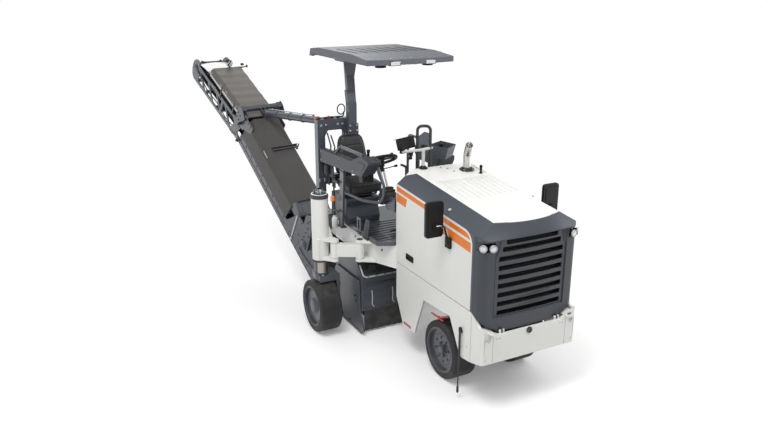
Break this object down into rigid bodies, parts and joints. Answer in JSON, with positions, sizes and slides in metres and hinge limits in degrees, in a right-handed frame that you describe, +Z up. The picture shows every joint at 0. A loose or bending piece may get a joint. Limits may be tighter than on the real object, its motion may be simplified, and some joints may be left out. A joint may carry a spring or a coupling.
{
  "type": "compact wheeled cold planer",
  "caption": "Compact cold planer on solid tyres: covered drum between the rear wheels, canopy over the seat, slewing rear conveyor, tilting hood",
  "frame": {"origin": "middle of the machine's footprint (bounding box) on the ground", "axes": "+X forward, +Y to the driver's left, +Z up"},
  "size_m": [6.036, 2.1476, 2.9199],
  "materials": {
    "paint_white": "semi-gloss warm white paint",
    "paint_slate": "satin slate grey paint",
    "steel_bright": "polished nickel-toned steel",
    "steel_dark": "dark worked steel",
    "tyre_rubber": "solid tyre rubber",
    "rubber": "black rubber sheet",
    "seat_cover": "black seat cloth",
    "cover_taupe": "taupe covers",
    "plastic_black": "black plastic",
    "lamp_glass": "lamp lens"
  },
  "bodies": {
    "chassis": {"main_frame": "paint_white", "side_skirts": "paint_white", "front_bumper": "paint_white", "engine_block": "steel_dark", "engine_cowl": "paint_white", "exhaust_pipe": "steel_bright", "platform": "paint_slate", "seat_pedestal": "paint_slate", "seat": "seat_cover", "console_right": "paint_slate", "console_left": "paint_slate", "steering_pedestal": "paint_slate", "display_unit": "plastic_black", "guard_rails": "paint_slate", "access_steps": "paint_slate", "mast_portal": "paint_slate", "canopy_mast": "paint_slate", "canopy_roof": "paint_slate", "drum_housing": "paint_slate", "front_flap": "rubber", "front_axle": "paint_slate", "column_left": "paint_white", "pointer_rod": "steel_dark"},
    "hood": {"hood_shell": "paint_white", "hood_grille": "paint_slate", "head_lamps": "lamp_glass", "mirrors": "plastic_black"},
    "steering_wheel": {"steering_wheel": "plastic_black"},
    "milling_drum": {"milling_drum": "steel_dark"},
    "protector_right": {"edge_protector_right": "paint_slate"},
    "protector_left": {"edge_protector_left": "paint_slate"},
    "scraper": {"scraper_door": "paint_slate"},
    "knuckle_right": {"knuckle_right": "paint_slate"},
    "knuckle_left": {"knuckle_left": "paint_slate"},
    "wheel_front_right": {"tyre_front_right": "tyre_rubber", "rim_front_right": "paint_slate"},
    "wheel_front_left": {"tyre_front_left": "tyre_rubber", "rim_front_left": "paint_slate"},
    "wheel_rear_right": {"tyre_rear_right": "tyre_rubber", "rim_rear_right": "paint_slate"},
    "wheel_rear_left": {"tyre_rear_left": "tyre_rubber", "rim_rear_left": "paint_slate"},
    "swing_arm": {"swing_arm": "paint_white"},
    "column_right": {"column_right": "paint_white"},
    "leg_right": {"leg_right": "paint_slate"},
    "leg_left": {"leg_left": "paint_slate"},
    "slew_bracket": {"slew_bracket": "paint_slate"},
    "conveyor": {"conveyor_frame": "paint_slate", "conveyor_belt": "rubber", "conveyor_covers": "cover_taupe"},
    "lift_barrel": {"lift_barrel": "paint_slate"},
    "lift_rod": {"lift_rod": "steel_bright"}
  },
  "joints": [
    {"name": "hood_tilt", "type": "hinge", "parent": "chassis", "child": "hood", "pos_m": [2.94404, 0.34181, 0.765], "axis": [0, 1, 0], "range_deg": [0, 45]},
    {"name": "steering_wheel_turn", "type": "hinge", "parent": "chassis", "child": "steering_wheel", "pos_m": [1.00304, -0.13819, 1.872], "axis": [-0.4695, 0, 0.8829], "range_deg": [-540, 540]},
    {"name": "drum_spin", "type": "hinge", "parent": "chassis", "child": "milling_drum", "pos_m": [0.75304, -0.09319, 0.345], "axis": [0, 1, 0], "continuous": true},
    {"name": "protector_right_lift", "type": "slide", "parent": "chassis", "child": "protector_right", "axis": [0, 0, 1], "range_m": [0, 0.15]},
    {"name": "protector_left_lift", "type": "slide", "parent": "chassis", "child": "protector_left", "axis": [0, 0, 1], "range_m": [0, 0.15]},
    {"name": "scraper_lift", "type": "slide", "parent": "chassis", "child": "scraper", "axis": [0, 0, 1], "range_m": [0, 0.15]},
    {"name": "steer_right", "type": "hinge", "parent": "chassis", "child": "knuckle_right", "pos_m": [2.24004, 0.17181, 0.285], "axis": [0, 0, 1], "range_deg": [-30, 30]},
    {"name": "steer_left", "type": "hinge", "parent": "chassis", "child": "knuckle_left", "pos_m": [2.24004, 0.51181, 0.285], "axis": [0, 0, 1], "range_deg": [-30, 30]},
    {"name": "front_right_spin", "type": "hinge", "parent": "knuckle_right", "child": "wheel_front_right", "pos_m": [2.24004, -0.01719, 0.285], "axis": [0, 1, 0], "continuous": true},
    {"name": "front_left_spin", "type": "hinge", "parent": "knuckle_left", "child": "wheel_front_left", "pos_m": [2.24004, 0.70081, 0.285], "axis": [0, 1, 0], "continuous": true},
    {"name": "swing_out", "type": "hinge", "parent": "chassis", "child": "swing_arm", "pos_m": [1.04804, -0.39819, 0.95], "axis": [0, 0, 1], "range_deg": [0, 120]},
    {"name": "swing_column", "type": "hinge", "parent": "swing_arm", "child": "column_right", "pos_m": [0.91604, -0.62619, 0.95], "axis": [0, 0, 1], "range_deg": [0, 60]},
    {"name": "leg_right_lift", "type": "slide", "parent": "column_right", "child": "leg_right", "axis": [0, 0, 1], "range_m": [-0.2, 0.12]},
    {"name": "leg_left_lift", "type": "slide", "parent": "chassis", "child": "leg_left", "axis": [0, 0, 1], "range_m": [-0.2, 0.12]},
    {"name": "rear_right_spin", "type": "hinge", "parent": "leg_right", "child": "wheel_rear_right", "pos_m": [0.76304, -0.72019, 0.285], "axis": [0, 1, 0], "continuous": true},
    {"name": "rear_left_spin", "type": "hinge", "parent": "leg_left", "child": "wheel_rear_left", "pos_m": [0.76304, 0.87681, 0.285], "axis": [0, 1, 0], "continuous": true},
    {"name": "conveyor_slew", "type": "hinge", "parent": "chassis", "child": "slew_bracket", "pos_m": [-0.02196, -0.24819, 0.95], "axis": [0, 0, 1], "range_deg": [-36.5, 13.5]},
    {"name": "conveyor_luff", "type": "hinge", "parent": "slew_bracket", "child": "conveyor", "pos_m": [-0.23362, -0.29126, 0.638], "axis": [-0.1994, 0.9799, 0], "range_deg": [-14, 3]},
    {"name": "lift_barrel_swing", "type": "hinge", "parent": "conveyor", "child": "lift_barrel", "pos_m": [-1.44223, -0.53715, 2.01437], "axis": [-0.1994, 0.9799, 0], "range_deg": [-0.78, 3.62]},
    {"name": "lift_rod_slide", "type": "slide", "parent": "lift_barrel", "child": "lift_rod", "axis": [0.9778, 0.1989, 0.0658], "range_m": [-0.0753, 0.3495]}
  ],
  "couplings": [
    {"joint": "steer_left", "follows": "steer_right", "ratio": 1},
    {"joint": "swing_column", "follows": "swing_out", "ratio": 0.5},
    {"joint": "lift_barrel_swing", "follows": "conveyor_luff", "ratio": -0.258},
    {"joint": "lift_rod_slide", "follows": "conveyor_luff", "m_per_rad": -1.4284}
  ]
}
